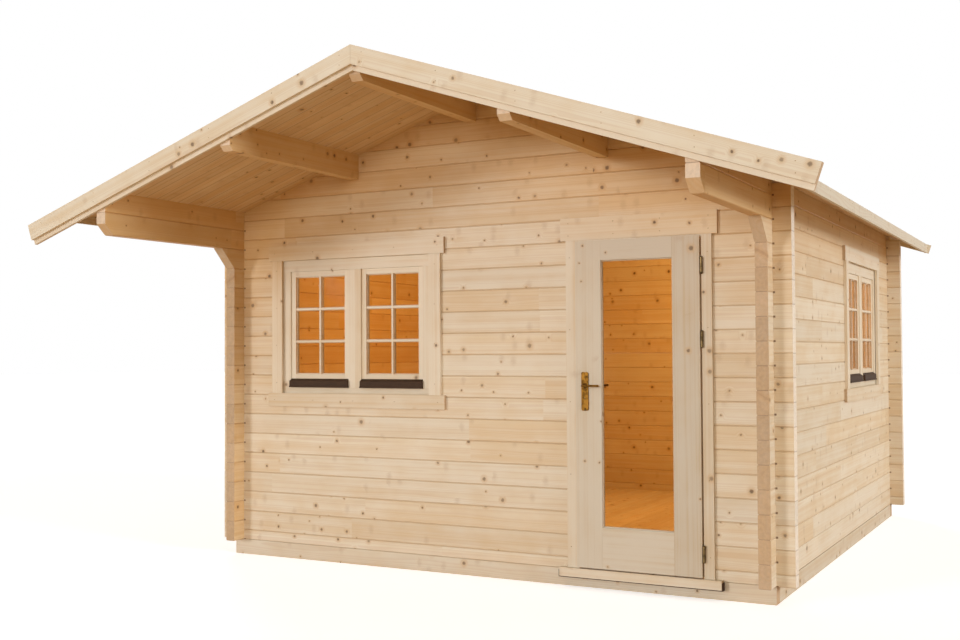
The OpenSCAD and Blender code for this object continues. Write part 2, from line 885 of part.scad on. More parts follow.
module front_window_casing() {
    in_front_wall() window_casing();
}

module side_window_frame() {
    in_right_wall() window_frame();
}

module side_window_sashes() {
    in_right_wall() window_sashes();
}

module side_window_glass() {
    in_right_wall() window_glass();
}

module side_window_drip_rails() {
    in_right_wall() window_drip_rails();
}

module side_window_casing() {
    in_right_wall() window_casing();
}

foundation_beams();
floor_boards();
front_logs_under_window();
front_logs_left_of_window();
front_logs_beside_door();
front_logs_right_of_door();
front_logs_over_door();
front_gable_logs();
back_logs();
back_gable_logs();
left_logs();
left_canopy_logs();
right_logs_under_window();
right_logs_front_of_window();
right_logs_behind_window();
right_corbel_log();
right_canopy_logs();
ridge_purlin();
left_purlin();
right_purlin();
left_roof_boards();
right_roof_boards();
front_verge_boards();
front_verge_backing();
back_verge_boards();
eave_fascias();
door_frame();
door_head_casing();
door_sill();
door_hinge_pins();
door_leaf();
door_glass();
door_hinge_knuckles();
door_handle_plates();
door_lever();
front_window_frame();
front_window_sashes();
front_window_glass();
front_window_drip_rails();
front_window_casing();
side_window_frame();
side_window_sashes();
side_window_glass();
side_window_drip_rails();
side_window_casing();
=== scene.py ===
"""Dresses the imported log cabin: spruce finishes, boards, window bars, beads and fittings."""
import math

import bpy
import numpy as np
from mathutils import Matrix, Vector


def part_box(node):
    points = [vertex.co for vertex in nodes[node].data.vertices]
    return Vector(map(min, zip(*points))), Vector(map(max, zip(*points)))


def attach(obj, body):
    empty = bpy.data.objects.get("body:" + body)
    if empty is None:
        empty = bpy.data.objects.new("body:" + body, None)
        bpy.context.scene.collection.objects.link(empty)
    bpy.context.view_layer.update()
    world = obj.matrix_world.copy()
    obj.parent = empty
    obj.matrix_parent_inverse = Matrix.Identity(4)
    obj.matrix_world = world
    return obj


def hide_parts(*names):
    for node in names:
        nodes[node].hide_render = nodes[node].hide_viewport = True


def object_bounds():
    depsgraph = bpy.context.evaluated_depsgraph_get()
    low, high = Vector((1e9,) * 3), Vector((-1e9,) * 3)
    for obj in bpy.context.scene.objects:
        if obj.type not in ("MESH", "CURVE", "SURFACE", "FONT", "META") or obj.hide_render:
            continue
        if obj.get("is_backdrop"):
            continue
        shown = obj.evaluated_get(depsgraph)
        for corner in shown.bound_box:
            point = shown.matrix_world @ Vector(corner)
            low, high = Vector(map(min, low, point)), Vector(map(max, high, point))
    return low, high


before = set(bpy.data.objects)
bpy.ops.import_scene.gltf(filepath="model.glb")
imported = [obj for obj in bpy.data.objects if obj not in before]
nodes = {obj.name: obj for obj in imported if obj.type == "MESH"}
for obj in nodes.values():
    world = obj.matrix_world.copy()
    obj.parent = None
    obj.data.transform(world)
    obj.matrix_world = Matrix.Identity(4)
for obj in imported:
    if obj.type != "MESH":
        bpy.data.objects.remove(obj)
cad_low, cad_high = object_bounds()

# Measures of the frame, in metres
LOG_H = 0.133
LOG_T = 0.070
FRONT_FACE = -1.371
SIDE_FACE = 1.8675
BACK_FACE = 2.493
FOUNDATION_TOP = 0.1
FRONT_JOINT = FOUNDATION_TOP + LOG_H / 2
SEAT_GAP = 0.0004
PITCH = math.radians(18.68)
SLOPE, COS_PITCH, SIN_PITCH = math.tan(PITCH), math.cos(PITCH), math.sin(PITCH)
RIDGE_UNDERSIDE = 2.96306
ROOF_T = 0.020
PURLIN_GAP = 0.877
DOOR_X = 1.089
WINDOW_X = -0.879
SIDE_WINDOW_Y = 1.254
SASH_X = 0.285
PANE_W = 0.3984
PANE_FACES = (0.032, 0.038)
CASING_FOOT_H, CASING_HEAD_H = 0.09, 0.102
GRIP_R = 0.0065
HINGE_R = 0.009
HINGE_SHARES = np.array([0.068, 0.695, 0.912])

X_AXIS = np.array([1.0, 0.0, 0.0])
Y_AXIS = np.array([0.0, 1.0, 0.0])
Z_AXIS = np.array([0.0, 0.0, 1.0])

ROOF_BOARDS = 56
FLOOR_BOARDS = 32
floor_low, floor_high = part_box("floor_boards")
floor_board_w = (floor_high.x - floor_low.x) / FLOOR_BOARDS
roof_low, roof_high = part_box("right_roof_boards")
roof_board_w = (roof_high.y - roof_low.y) / ROOF_BOARDS

# Each set of boards counts on from its own number, so that no two sets share their grain
BACK_ROWS, RIGHT_ROWS, RIGHT_ROOF = 40.0, 40.0, 90.0
SIDE_ROWS, PURLINS, ROOF, VERGES, FLOOR = 100.0, 200.0, 300.0, 500.0, 600.0
FOUNDATION, JOISTS, UPRIGHTS, LEVELS, SINGLES = 700.0, 710.0, 800.0, 850.0, 900.0

# Steps that tell one board of a set from the next: in metres, or as boards per metre
UPRIGHT_STEP, LEVEL_STEP = 0.3, 0.75
VERGES_PER_M, JOISTS_PER_M = 49.5, 1.6
SASH_STILE_X, LEAF_STILE_X = 0.2, 0.2168


class Value:
    """A number on a socket; arithmetic on it adds Math nodes."""

    def __init__(self, finish, socket):
        self.finish = finish
        self.socket = socket

    def math(self, operation, *terms):
        return self.finish.add("ShaderNodeMath", {"operation": operation}, dict(enumerate(terms)))

    def __add__(self, other):
        return self.math("ADD", self, other)

    def __sub__(self, other):
        return self.math("SUBTRACT", self, other)

    def __rsub__(self, other):
        return self.math("SUBTRACT", other, self)

    def __mul__(self, other):
        return self.math("MULTIPLY", self, other)

    def __truediv__(self, other):
        return self.math("DIVIDE", self, other)

    def __pow__(self, other):
        return self.math("POWER", self, other)

    def __abs__(self):
        return self.math("ABSOLUTE", self)

    __radd__ = __add__
    __rmul__ = __mul__

    def floor(self):
        return self.math("FLOOR", self)

    def fract(self):
        return self.math("FRACT", self)

    def root(self):
        return self.math("SQRT", self)

    def least(self, limit):
        return self.math("MINIMUM", self, limit)

    def over(self, limit):
        """1 where the number is over the limit, and 0 elsewhere."""
        return self.math("GREATER_THAN", self, limit)

    def under(self, limit):
        """1 where the number is under the limit, and 0 elsewhere."""
        return self.math("LESS_THAN", self, limit)

    def step(self, low, high):
        """A smooth step from 0 at low to 1 at high; low may be the greater of the two."""
        return self.finish.add("ShaderNodeMapRange", {"interpolation_type": "SMOOTHSTEP"},
                               {0: self, 1: low, 2: high, 3: 0.0, 4: 1.0})


class Finish:
    """A procedural finish: a material, or the world, whose nodes come from expressions."""

    def __init__(self, name, holder=None):
        self.holder = holder or bpy.data.materials.new(name)
        self.holder.use_nodes = True
        self.tree = self.holder.node_tree
        self.tree.nodes.clear()

    def add(self, kind, settings=(), inputs=(), output=0):
        """Adds a node: its settings first, then its sockets' values or links."""
        made = self.tree.nodes.new(kind)
        for key, setting in dict(settings).items():
            setattr(made, key, setting)
        for key, source in dict(inputs).items():
            if isinstance(source, Value):
                self.tree.links.new(source.socket, made.inputs[key])
            else:
                made.inputs[key].default_value = source
        return Value(self, made.outputs[output]) if made.outputs else None

    def parts(self, vector):
        return [self.add("ShaderNodeSeparateXYZ", (), {0: vector}, i) for i in range(3)]

    def place(self):
        """The point's own coordinates, in metres."""
        return self.parts(self.add("ShaderNodeTexCoord", output="Object"))

    def facing(self):
        """The face's direction, in the piece's own frame."""
        return self.parts(self.add("ShaderNodeTexCoord", output="Normal"))

    def vector(self, x, y, z):
        return self.add("ShaderNodeCombineXYZ", (), {0: x, 1: y, 2: z})

    def noise(self, x, y, z, detail=2.0):
        """Smooth noise between 0 and 1 over a stretched place."""
        return self.add("ShaderNodeTexNoise", (),
                        {"Vector": self.vector(x, y, z), "Scale": 1.0, "Detail": detail})

    def dice(self, x, y=0.0, z=0.0):
        """Three random numbers that stay the same for one whole place."""
        return self.parts(self.add("ShaderNodeTexWhiteNoise", (), {"Vector": self.vector(x, y, z)},
                                   "Color"))

    def cells(self, vector, output, randomness=1.0):
        """A flat field of random cells: their Distance, Color or Position."""
        return self.add("ShaderNodeTexVoronoi", {"voronoi_dimensions": "2D"},
                        {"Vector": vector, "Scale": 1.0, "Randomness": randomness}, output)

    def blend(self, share, first, second):
        """The first colour where share is 0, and the second where it is 1."""
        return self.add("ShaderNodeMix", {"data_type": "RGBA"}, {0: share, 6: first, 7: second}, 2)

    def shade(self, colour, factor):
        """A colour made lighter or darker by a factor."""
        plain = colour[:3] if isinstance(colour, tuple) else colour
        return self.add("ShaderNodeVectorMath", {"operation": "SCALE"}, {0: plain, "Scale": factor})

    def tinted(self, colour, tint):
        """A colour multiplied by another."""
        return self.add("ShaderNodeVectorMath", {"operation": "MULTIPLY"}, {0: colour, 1: tint})

    def bump(self, height):
        """A bump from heights in metres."""
        return self.add("ShaderNodeBump", (), {"Strength": 1.0, "Distance": 1.0, "Height": height},
                        "Normal")

    def close(self, shader, kind="ShaderNodeOutputMaterial"):
        self.add(kind, (), {"Surface": shader})
        return self.holder

    def principled(self, **sockets):
        """Closes the finish with a Principled shader; names are written with underscores."""
        named = {key.replace("_", " "): value for key, value in sockets.items()}
        return self.close(self.add("ShaderNodeBsdfPrincipled", (), named))


def colour(red, green, blue):
    """A colour in linear light from its sRGB values of 0 to 255."""
    shares = np.array([red, green, blue]) / 255.0
    linear = np.where(shares <= 0.04045, shares / 12.92, ((shares + 0.055) / 1.055) ** 2.4)
    return (*linear.tolist(), 1.0)


def pick(mask, first, second):
    """The first number where the mask is 1, and the second where it is 0."""
    return second + mask * (first - second)


WHITE = (1.0, 1.0, 1.0, 1.0)
PALE = colour(224, 213, 189)
GOLDEN = colour(213, 190, 152)
# Painted shade: a darker, warmer tint for wood that lies in shade under the canopy and eaves
PAINTED_SHADE_TINT = (0.96, 0.77, 0.5, 1.0)
LATE_WOOD = colour(192, 152, 112)
KNOT = colour(98, 76, 50)
KNOT_HALO = colour(197, 160, 110)
SMUDGE = colour(172, 140, 104)
GROOVE = colour(210, 186, 152)
# Dark colour past the seam's groove: dark joints between roof boards, and painted shade at the
# notch spots
GAP = colour(88, 56, 30)
END_GRAIN = colour(190, 155, 114)
FRESH_CUT = colour(232, 208, 180)
# Painted light: near-white end grain for the front logs, their ends made as bright as they look in
# the side light
PAINTED_LIGHT_CUT = colour(244, 234, 218)

# Scale of the wood's own marks and of the painted shade at the notches, in metres; the fingers
# of a joint are counted per metre
KNOT_CELL, KNOT_SCATTER = 0.115, 0.9
KNOT_R, KNOT_GROWTH, SWIRL_R = 0.0046, 0.0092, 0.035
SMUDGE_L, SMUDGE_W = 0.085, 0.13
RING_GAP, RING_SPREAD = 0.0036, 0.0014
FINGERS, FINGER_L = 125.0, 0.011
LOG_GROOVE_W, BOARD_GROOVE_W, JOINT_W, NOTCH_SHADE_OFFSET = 0.0065, 0.006, 0.001, 0.006


def knots_on(f, along, face, depth, tone, shift, share):
    """The knots of a board: their cores, halos and the swirl of the grain round them, smudges, and
    how dark each knot is.

    Knots are the cells of a flat field over the board, kept where the stem had a whorl of branches;
    a second field of tall cells gives the faint smudges across the grain, where a branch runs under
    the face.
    """
    wander = f.noise(along * 90.0, face * 90.0, depth * 90.0, 1.0)
    spot = f.vector((along + shift) / KNOT_CELL, (face + depth * 0.6 + tone[1] * 11.0) / KNOT_CELL,
                    0.0)
    away = f.cells(spot, "Distance", KNOT_SCATTER) * KNOT_CELL + (wander - 0.5) * 0.008
    luck = f.parts(f.cells(spot, "Color", KNOT_SCATTER))
    centre = f.parts(f.cells(spot, "Position", KNOT_SCATTER))
    whorl = f.noise(centre[0] * 0.42, tone[1] * 50.0, 0.0, 0.0).step(0.38, 0.62)
    size = KNOT_R + luck[1] * luck[1] * KNOT_GROWTH
    kept = luck[0].under(share * 0.25 + whorl * share * 0.95)
    core = away.step(size * 1.3, size * 0.5) * kept
    halo = away.step(size * 3.2, size * 0.8) * kept
    swirl = away.step(SWIRL_R, 0.0) * kept
    tall = f.vector((along + shift) / SMUDGE_L + wander * 0.3,
                    (face + depth) / SMUDGE_W + tone[1] * 23.0, 0.0)
    marked = f.parts(f.cells(tall, "Color"))[0].under(share * 0.28 + whorl * share * 0.3)
    smudge = f.cells(tall, "Distance").step(0.36, 0.0) * marked
    return core, halo, swirl, smudge, luck[2]


def spruce(name, lay, knots=0.42, light=1.0, piece_l=2.3, warm=0.5, ends=END_GRAIN, painted_shade=None):
    """Planed spruce.

    A board's growth rings are r = sqrt((face - pith)^2 + (depth - pith)^2), bent by noise and
    pushed aside by knots; fract(r / spacing) gives early and late wood. Noise is stretched along
    the grain, so its factors are few per metre along a board and many across it. Finger joints
    split a board into lengths of their own tone, unless it is in one piece (piece_l of 0). The
    lay's seam runs from 0 to 1 in a groove between boards, and on to 2 in a dark gap; at the
    notches that gap is painted shade. Wood in shade under the canopy and eaves gets painted shade,
    a darker and warmer tone, by the painted_shade rule, from 0 in the open to 1.
    """
    f = Finish(name)
    along, face, depth, board, end, seam = lay(f)
    own = f.dice(board)
    comb = abs((face * FINGERS).fract() - 0.5) * FINGER_L
    length = ((along + comb + own[0] * 9.0) / piece_l).floor() if piece_l else 0.0
    tone = f.dice(board, length, 7.0)
    shift = tone[0] * 37.0
    core, halo, swirl, smudge, dark = knots_on(f, along, face, depth, tone, shift, knots)

    bend = f.noise(along * 0.8 + shift, face * 5.0, depth * 5.0) - 0.5
    off_face = face - (tone[1] - 0.5) * 0.11 + bend * 0.03
    off_depth = depth - (0.02 + tone[2] * 0.07) + bend * 0.02
    radius = (off_face ** 2.0 + off_depth ** 2.0).root() + bend * 0.012 + swirl * 0.007
    ring = (radius / (RING_GAP + tone[1] * RING_SPREAD)).fract()
    late = ring.step(0.35, 0.9) * ring.step(1.0, 0.93)
    band = f.noise(radius * 70.0, shift, 0.0, 1.0)
    streak = f.noise(along * 1.1 + shift, face * 26.0, depth * 26.0, 3.0)
    fibre = f.noise(along * 14.0, face * 650.0, depth * 650.0, 2.0)
    patch = f.noise(along * 4.5 + shift, face * 8.0, depth * 8.0, 2.0)
    rough = f.noise(along * 12.0 + shift, face * 55.0, depth * 55.0, 3.0)

    heart = (band.step(0.3, 0.75) * 0.4 + tone[2] * 0.6 + (streak - 0.5) * 0.8
             + (patch - 0.5) * 0.9 + warm * 0.3)
    wood = f.blend(heart.step(0.05, 1.2), PALE, GOLDEN)
    wood = f.blend(late * 0.2, wood, LATE_WOOD)
    wood = f.shade(wood, (0.955 + tone[1] * 0.08 + (fibre - 0.5) * 0.09) * light)
    wood = f.blend(smudge * 0.26, wood, SMUDGE)
    wood = f.blend(halo * 0.5, wood, KNOT_HALO)
    wood = f.blend(core * (0.5 + dark * 0.4), wood, KNOT)
    cut = end.step(0.6, 0.8)
    grain = f.shade(ends, 0.95 + (tone[1] - 0.5) * 0.16 + (fibre - 0.5) * 0.2 + (rough - 0.5) * 0.5
                    - late * 0.12)
    wood = f.blend(cut * 0.75, wood, grain)
    if isinstance(seam, Value):
        # Grooves blend to a warm brown; past 1 the seam blends to dark: dark joints between roof
        # boards, painted shade at the notches
        wood = f.blend(seam.least(1.0) * (0.65 - cut * 0.6), wood, GROOVE)
        wood = f.blend((seam * (1.0 + cut * 0.45) - 1.0) * 0.8, wood, GAP)
    # Painted shade: wood in shade under the canopy and eaves takes the darker tint, but its cut
    # ends do not
    if painted_shade:
        wood = f.tinted(wood, f.blend(painted_shade(f) * (1.0 - cut), WHITE, PAINTED_SHADE_TINT))
    height = fibre * 0.00012 + late * 0.00008 - core * 0.0002
    return f.principled(Base_Color=wood, Roughness=0.5 + fibre * 0.16 + cut * 0.1,
                        Specular_IOR_Level=0.35, Normal=f.bump(height))


# Lays: where a point lies along, across and into its board, the board's number, how far the face
# is a cut end, and the seam
def log_seam(face):
    """The dim groove along a joint between two logs."""
    return abs(face).step(LOG_H / 2 - LOG_GROOVE_W, LOG_H / 2 - JOINT_W)


def notch_painted_shade(x, z):
    """Painted shade: a small dark spot beside each notch, where a joint of the side wall meets
    the front log and the hole there lies in shadow.
    """
    off_joint = abs(((z - FOUNDATION_TOP) / LOG_H + 0.5).fract() - 0.5)
    off_face = abs(abs(abs(x) - SIDE_FACE + LOG_T / 2) - LOG_T / 2 - NOTCH_SHADE_OFFSET)
    return off_face.step(0.009, 0.004) * off_joint.step(0.062, 0.03)


def front_or_back_row(f):
    """Grain along x, in rows of logs of the front and back walls."""
    x, y, z = f.place()
    back = y.over(0.0)
    row = ((z - FRONT_JOINT) / LOG_H).floor()
    face = z - FRONT_JOINT - (row + 0.5) * LOG_H
    depth = y - (FRONT_FACE + LOG_T / 2) - back * (BACK_FACE - FRONT_FACE - LOG_T)
    # The notch spots add painted shade on top of the seam
    seam = log_seam(face) + notch_painted_shade(x, z) * 2.0
    return x, face, depth, row + back * BACK_ROWS, abs(f.facing()[0]), seam


def side_row(f):
    """Grain along y, in rows of logs of the side walls."""
    x, y, z = f.place()
    row = ((z - FOUNDATION_TOP) / LOG_H).floor()
    face = z - FOUNDATION_TOP - (row + 0.5) * LOG_H
    board = row + x.over(0.0) * RIGHT_ROWS + SIDE_ROWS
    return y, face, abs(x) - (SIDE_FACE - LOG_T / 2), board, abs(f.facing()[1]), log_seam(face)


def purlin_grain(f):
    """Grain along y, one board for each purlin or fascia."""
    x, y, z = f.place()
    row = (x / PURLIN_GAP + 0.5).floor()
    fall = z + abs(x) * SLOPE - RIDGE_UNDERSIDE
    return y, fall + 0.07, x - row * PURLIN_GAP, row + PURLINS, abs(f.facing()[1]), 0.0


def slope_grain(f, board_w):
    """Grain down the roof's slope, in boards of a width along y."""
    x, y, z = f.place()
    nx, _, nz = f.facing()
    run = abs(x) * COS_PITCH - z * SIN_PITCH
    rise = abs(x) * SIN_PITCH + z * COS_PITCH - RIDGE_UNDERSIDE * COS_PITCH
    board = ((y - cad_low.y) / board_w).floor()
    face = y - cad_low.y - (board + 0.5) * board_w
    end = abs(abs(nx) * COS_PITCH - nz * SIN_PITCH) * abs(nx).over(0.6)
    seam = abs(face).step(board_w / 2 - BOARD_GROOVE_W, board_w / 2 - JOINT_W) * 1.55
    return run, face, rise, board + x.over(0.0) * RIGHT_ROOF + ROOF, end, seam


def verge_grain(f):
    """Grain down the slope, one board on each side of the ridge."""
    x, y, _ = f.place()
    run, _, rise, _, end, _ = slope_grain(f, 1.0)
    layer = ((y - cad_low.y) * VERGES_PER_M).floor()
    board = x.over(0.0) + y.over(0.0) * 4.0 + layer + VERGES
    return run, rise, abs(y) - cad_high.y, board, end, 0.0


def floor_grain(f):
    """Grain along y, in floor boards."""
    x, y, z = f.place()
    board = ((x - floor_low.x) / floor_board_w).floor()
    face = x - floor_low.x - (board + 0.5) * floor_board_w
    return y, face, z, board + FLOOR, abs(f.facing()[1]), 0.0


def foundation_grain(f):
    """Grain along x, and along y in the beams under the side walls."""
    x, y, z = f.place()
    nx, ny, _ = f.facing()
    long = abs(x).over(SIDE_FACE - LOG_T) * y.over(FRONT_FACE + LOG_T) * y.under(BACK_FACE - LOG_T)
    row = (y * JOISTS_PER_M).floor()
    board = pick(long, x.over(0.0) + FOUNDATION, row + JOISTS)
    depth = pick(long, abs(x) - SIDE_FACE, y - (row + 0.5) / JOISTS_PER_M)
    return (pick(long, y, x), z - FOUNDATION_TOP / 2, depth, board, pick(long, abs(ny), abs(nx)),
            0.0)


def framed_grain(middle, upright_where, on_side=False):
    """Grain of a frame's boards in the front wall or the right wall, about the frame's middle:
    upright where the rule over the places across and up says so, and level elsewhere."""
    def lay(f):
        x, y, z = f.place()
        nx, ny, nz = f.facing()
        if on_side:
            across, deep, n_across = y - middle, x - SIDE_FACE, ny
        else:
            across, deep, n_across = x - middle, y - FRONT_FACE, nx
        upright = upright_where(across, z)
        side = (across / UPRIGHT_STEP + 0.5).floor() + across.over(0.0) * 12.0
        board = pick(upright, side + UPRIGHTS, (z / LEVEL_STEP).floor() + LEVELS)
        return (pick(upright, z, across), pick(upright, across, z), deep, board,
                pick(upright, abs(nz), abs(n_across)), 0.0)
    return lay


def between(low, high):
    """The rule of boards that stand upright between two heights."""
    return lambda across, z: z.over(low) * z.under(high)


def sash_stiles(across, z):
    """The rule of the sashes' stiles: they are the outer boards of each sash."""
    return abs(abs(across) - SASH_X).over(SASH_STILE_X)


def leaf_stiles(across, z):
    """The rule of the door leaf's stiles."""
    return abs(across).over(LEAF_STILE_X)


def level_board(f):
    """Grain along x of a single board on the front wall."""
    x, y, z = f.place()
    return x, z - 1.0, y - FRONT_FACE, (z / LEVEL_STEP).floor() + SINGLES, abs(f.facing()[0]), 0.0


# Painted shade rules: how far the wood's tone is darkened for the shade it lies in, from 0 to 1
def canopy_painted_shade(f):
    """Painted shade on the front wall: most right under the roof boards, some up in the left
    corner, and none elsewhere."""
    x, y, z = f.place()
    below_roof = RIDGE_UNDERSIDE - abs(x) * SLOPE - z
    in_corner = x.step(-1.15, -1.85) * z.step(0.5, 1.9)
    return (below_roof.step(0.85, 0.1) * 0.78 + in_corner * 0.45) * y.under(0.0)


def inward_painted_shade(f):
    """Painted shade on the left wall's logs: strong on the faces that look inwards."""
    return f.facing()[0].over(0.5) * 0.75


def under_roof_painted_shade(f):
    """Painted shade on the beams under the roof boards: full, but for faces that look up."""
    return 1.0 - f.facing()[2].over(0.9)


def eaves_painted_shade(f):
    """Painted shade on the side walls: it grows over the upper rows, up to the eaves."""
    return f.place()[2].step(1.65, 2.3) * 0.7


def canopy_log(f):
    """Painted shade on the top logs: full before the front wall, and that of the side walls behind.
    """
    return pick(f.place()[1].under(FRONT_FACE), under_roof_painted_shade(f), eaves_painted_shade(f))


def roof_underside_painted_shade(f):
    """Painted shade on the roof boards: partial on their undersides."""
    return under_roof_painted_shade(f) * 0.62


# Finishes of the fittings
PANE_TINT = (0.93, 0.95, 0.93, 1.0)
FACED_SHARE = 0.0425


def stained_rail(name):
    """Dark stained wood: soft streaks along the rail under a satin coat."""
    f = Finish(name)
    x, y, z = f.place()
    streak = f.noise(x * 4.0 + y * 4.0, z * 160.0, (x - y) * 20.0, 3.0)
    wear = f.noise(x * 30.0, y * 30.0, z * 30.0, 3.0)
    wood = f.blend(streak, colour(47, 34, 25), colour(82, 61, 44))
    return f.principled(Base_Color=f.shade(wood, 0.85 + wear * 0.3), Roughness=0.6 + streak * 0.15,
                        Specular_IOR_Level=0.12, Normal=f.bump(streak * 0.0003))


def metal(name, plain, dull, rough):
    """Cast and polished metal: a fine cloud of tarnish over brushed lines."""
    f = Finish(name)
    x, y, z = f.place()
    cloud = f.noise(x * 45.0, y * 45.0, z * 45.0, 4.0)
    lines = f.noise(x * 30.0, y * 900.0, z * 900.0, 1.0)
    tarnish = cloud.step(0.4, 0.75)
    return f.principled(Base_Color=f.blend(tarnish, plain, dull), Metallic=1.0,
                        Roughness=rough + tarnish * 0.18 + (lines - 0.5) * 0.06,
                        Normal=f.bump(lines * 0.00002 + cloud * 0.00004))


def clear_glass(name):
    """Coated float glass: clear where it is faced, and a mirror at a glance, with faint waves."""
    f = Finish(name)
    x, y, z = f.place()
    wave = f.noise(x * 5.0, y * 5.0, z * 3.0, 1.0)
    swell = f.bump(wave * 0.00012)
    clear = f.add("ShaderNodeBsdfTransparent", (), {"Color": PANE_TINT})
    mirror = f.add("ShaderNodeBsdfPrincipled", (),
                   {"Base Color": WHITE, "Metallic": 1.0, "Roughness": 0.03, "Normal": swell})
    share = f.add("ShaderNodeFresnel", (), {"IOR": 1.5, "Normal": swell}) - FACED_SHARE
    outer = 1.0 - f.add("ShaderNodeNewGeometry", output="Backfacing")
    return f.close(f.add("ShaderNodeMixShader", (), {0: share * outer, 1: clear, 2: mirror}))


def dress(finish, *names):
    """Gives a finish to nodes of the frame."""
    for name in names:
        mesh = nodes[name].data
        mesh.materials.clear()
        mesh.materials.append(finish)


# The front logs' ends take near-white painted light, and the wall takes painted shade under the
# canopy
wall_finish = spruce("spruce_front_logs", front_or_back_row, ends=PAINTED_LIGHT_CUT, painted_shade=canopy_painted_shade)
side_finish = spruce("spruce_side_logs", side_row, knots=0.3, painted_shade=eaves_painted_shade)
left_finish = spruce("spruce_left_logs", side_row, knots=0.3, painted_shade=inward_painted_shade)
canopy_finish = spruce("spruce_canopy_logs", side_row, knots=0.34, ends=FRESH_CUT,
                       painted_shade=canopy_log)
purlin_finish = spruce("spruce_purlins", purlin_grain, piece_l=0, warm=0.6, ends=FRESH_CUT,
                       painted_shade=under_roof_painted_shade)
# Painted shade: the ridge purlin's ends keep the darker end grain, as they lie back behind the
# verge in shadow
ridge_painted_shade_finish = spruce("spruce_ridge_purlin", purlin_grain, piece_l=0, warm=0.6, painted_shade=under_roof_painted_shade)
roof_finish = spruce("spruce_roof_boards", lambda f: slope_grain(f, roof_board_w), knots=0.24,
                     piece_l=0, warm=0.7, painted_shade=roof_underside_painted_shade)
eave_finish = spruce("spruce_eave_boards", purlin_grain, light=0.87, piece_l=0, warm=-0.7)
verge_finish = spruce("spruce_verge_boards", verge_grain, light=1.02, piece_l=0, warm=-0.6)
floor_finish = spruce("spruce_floor_boards", floor_grain, piece_l=3.0)
beam_finish = spruce("spruce_foundation", foundation_grain, light=0.9, piece_l=0)
level_finish = spruce("spruce_level_boards", level_board, piece_l=0, warm=0.2, painted_shade=canopy_painted_shade)
leaf_finish = spruce("spruce_door_leaf", framed_grain(DOOR_X, leaf_stiles), knots=0.2, light=0.82,
                     piece_l=0, warm=-0.3)
head_low, head_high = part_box("door_head_casing")
post_finish = spruce("spruce_door_frame", framed_grain(DOOR_X, between(0.0, head_low.z)), knots=0.2,
                     light=0.96, piece_l=0, warm=0.2)

dress(wall_finish, "front_logs_under_window", "front_logs_left_of_window", "front_logs_beside_door",
      "front_logs_right_of_door", "front_logs_over_door", "front_gable_logs", "back_logs",
      "back_gable_logs")
dress(left_finish, "left_logs")
dress(side_finish, "right_logs_under_window", "right_logs_front_of_window",
      "right_logs_behind_window", "right_corbel_log")
dress(canopy_finish, "left_canopy_logs", "right_canopy_logs")
dress(purlin_finish, "left_purlin", "right_purlin")
dress(ridge_painted_shade_finish, "ridge_purlin")
dress(eave_finish, "eave_fascias")
dress(verge_finish, "front_verge_boards", "front_verge_backing", "back_verge_boards")
dress(beam_finish, "foundation_beams")
dress(level_finish, "door_head_casing", "door_sill")
dress(post_finish, "door_frame")
dress(leaf_finish, "door_leaf")

sash_low, sash_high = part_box("front_window_sashes")
casing_low, casing_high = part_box("front_window_casing")
beside_sashes = between(sash_low.z - SEAT_GAP / 2, sash_high.z + SEAT_GAP / 2)
beside_window = between(casing_low.z + CASING_FOOT_H, casing_high.z - CASING_HEAD_H)
sash_finishes = {}
for window, on_side, middle in (("front_window", False, WINDOW_X),
                                ("side_window", True, SIDE_WINDOW_Y)):
    frames = spruce("spruce_" + window + "_frame", framed_grain(middle, beside_sashes, on_side),
                    knots=0.12, piece_l=0, warm=0.1)
    sashes = spruce("spruce_" + window + "_sashes", framed_grain(middle, sash_stiles, on_side),
                    knots=0.08, light=1.04, piece_l=0, warm=-0.2)
    casings = spruce("spruce_" + window + "_casing", framed_grain(middle, beside_window, on_side),
                     knots=0.2, piece_l=0, warm=0.4, painted_shade=canopy_painted_shade)
    dress(frames, window + "_frame")
    dress(sashes, window + "_sashes")
    dress(casings, window + "_casing")
    sash_finishes[window] = sashes

rail_finish = stained_rail("dark_stained_rail")
brass_finish = metal("dark_brass", colour(116, 79, 28), colour(66, 43, 15), 0.42)
hinge_finish = metal("dark_hinge_metal", colour(104, 84, 54), colour(52, 40, 24), 0.4)
nail_finish = metal("yellow_zinc_nails", colour(172, 142, 104), colour(122, 98, 68), 0.45)
glass_finish = clear_glass("clear_glass")
dress(rail_finish, "front_window_drip_rails", "side_window_drip_rails")
dress(brass_finish, "door_handle_plates")
dress(hinge_finish, "door_hinge_pins", "door_hinge_knuckles")
dress(glass_finish, "door_glass", "front_window_glass", "side_window_glass")


# Pieces
def piece(name, points, faces, finish, body, slot, smooth=False):
    """A mesh piece that rides on a body and takes a finish; the slot argument is not used."""
    mesh = bpy.data.meshes.new(name)
    mesh.from_pydata(np.asarray(points).reshape(-1, 3).tolist(), [], faces)
    mesh.materials.append(finish)
    mesh.polygons.foreach_set("use_smooth", np.full(len(mesh.polygons), smooth))
    mesh.update()
    made = bpy.data.objects.new(name, mesh)
    bpy.context.scene.collection.objects.link(made)
    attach(made, body)
    return made


def gathered(*shapes):
    """Several shapes as one: their points end to end, and their faces counted on."""
    starts = np.cumsum([0] + [len(points) for points, _ in shapes[:-1]])
    points = np.concatenate([points for points, _ in shapes])
    faces = [[int(i + start) for i in face]
             for (_, own), start in zip(shapes, starts) for face in own]
    return points, faces


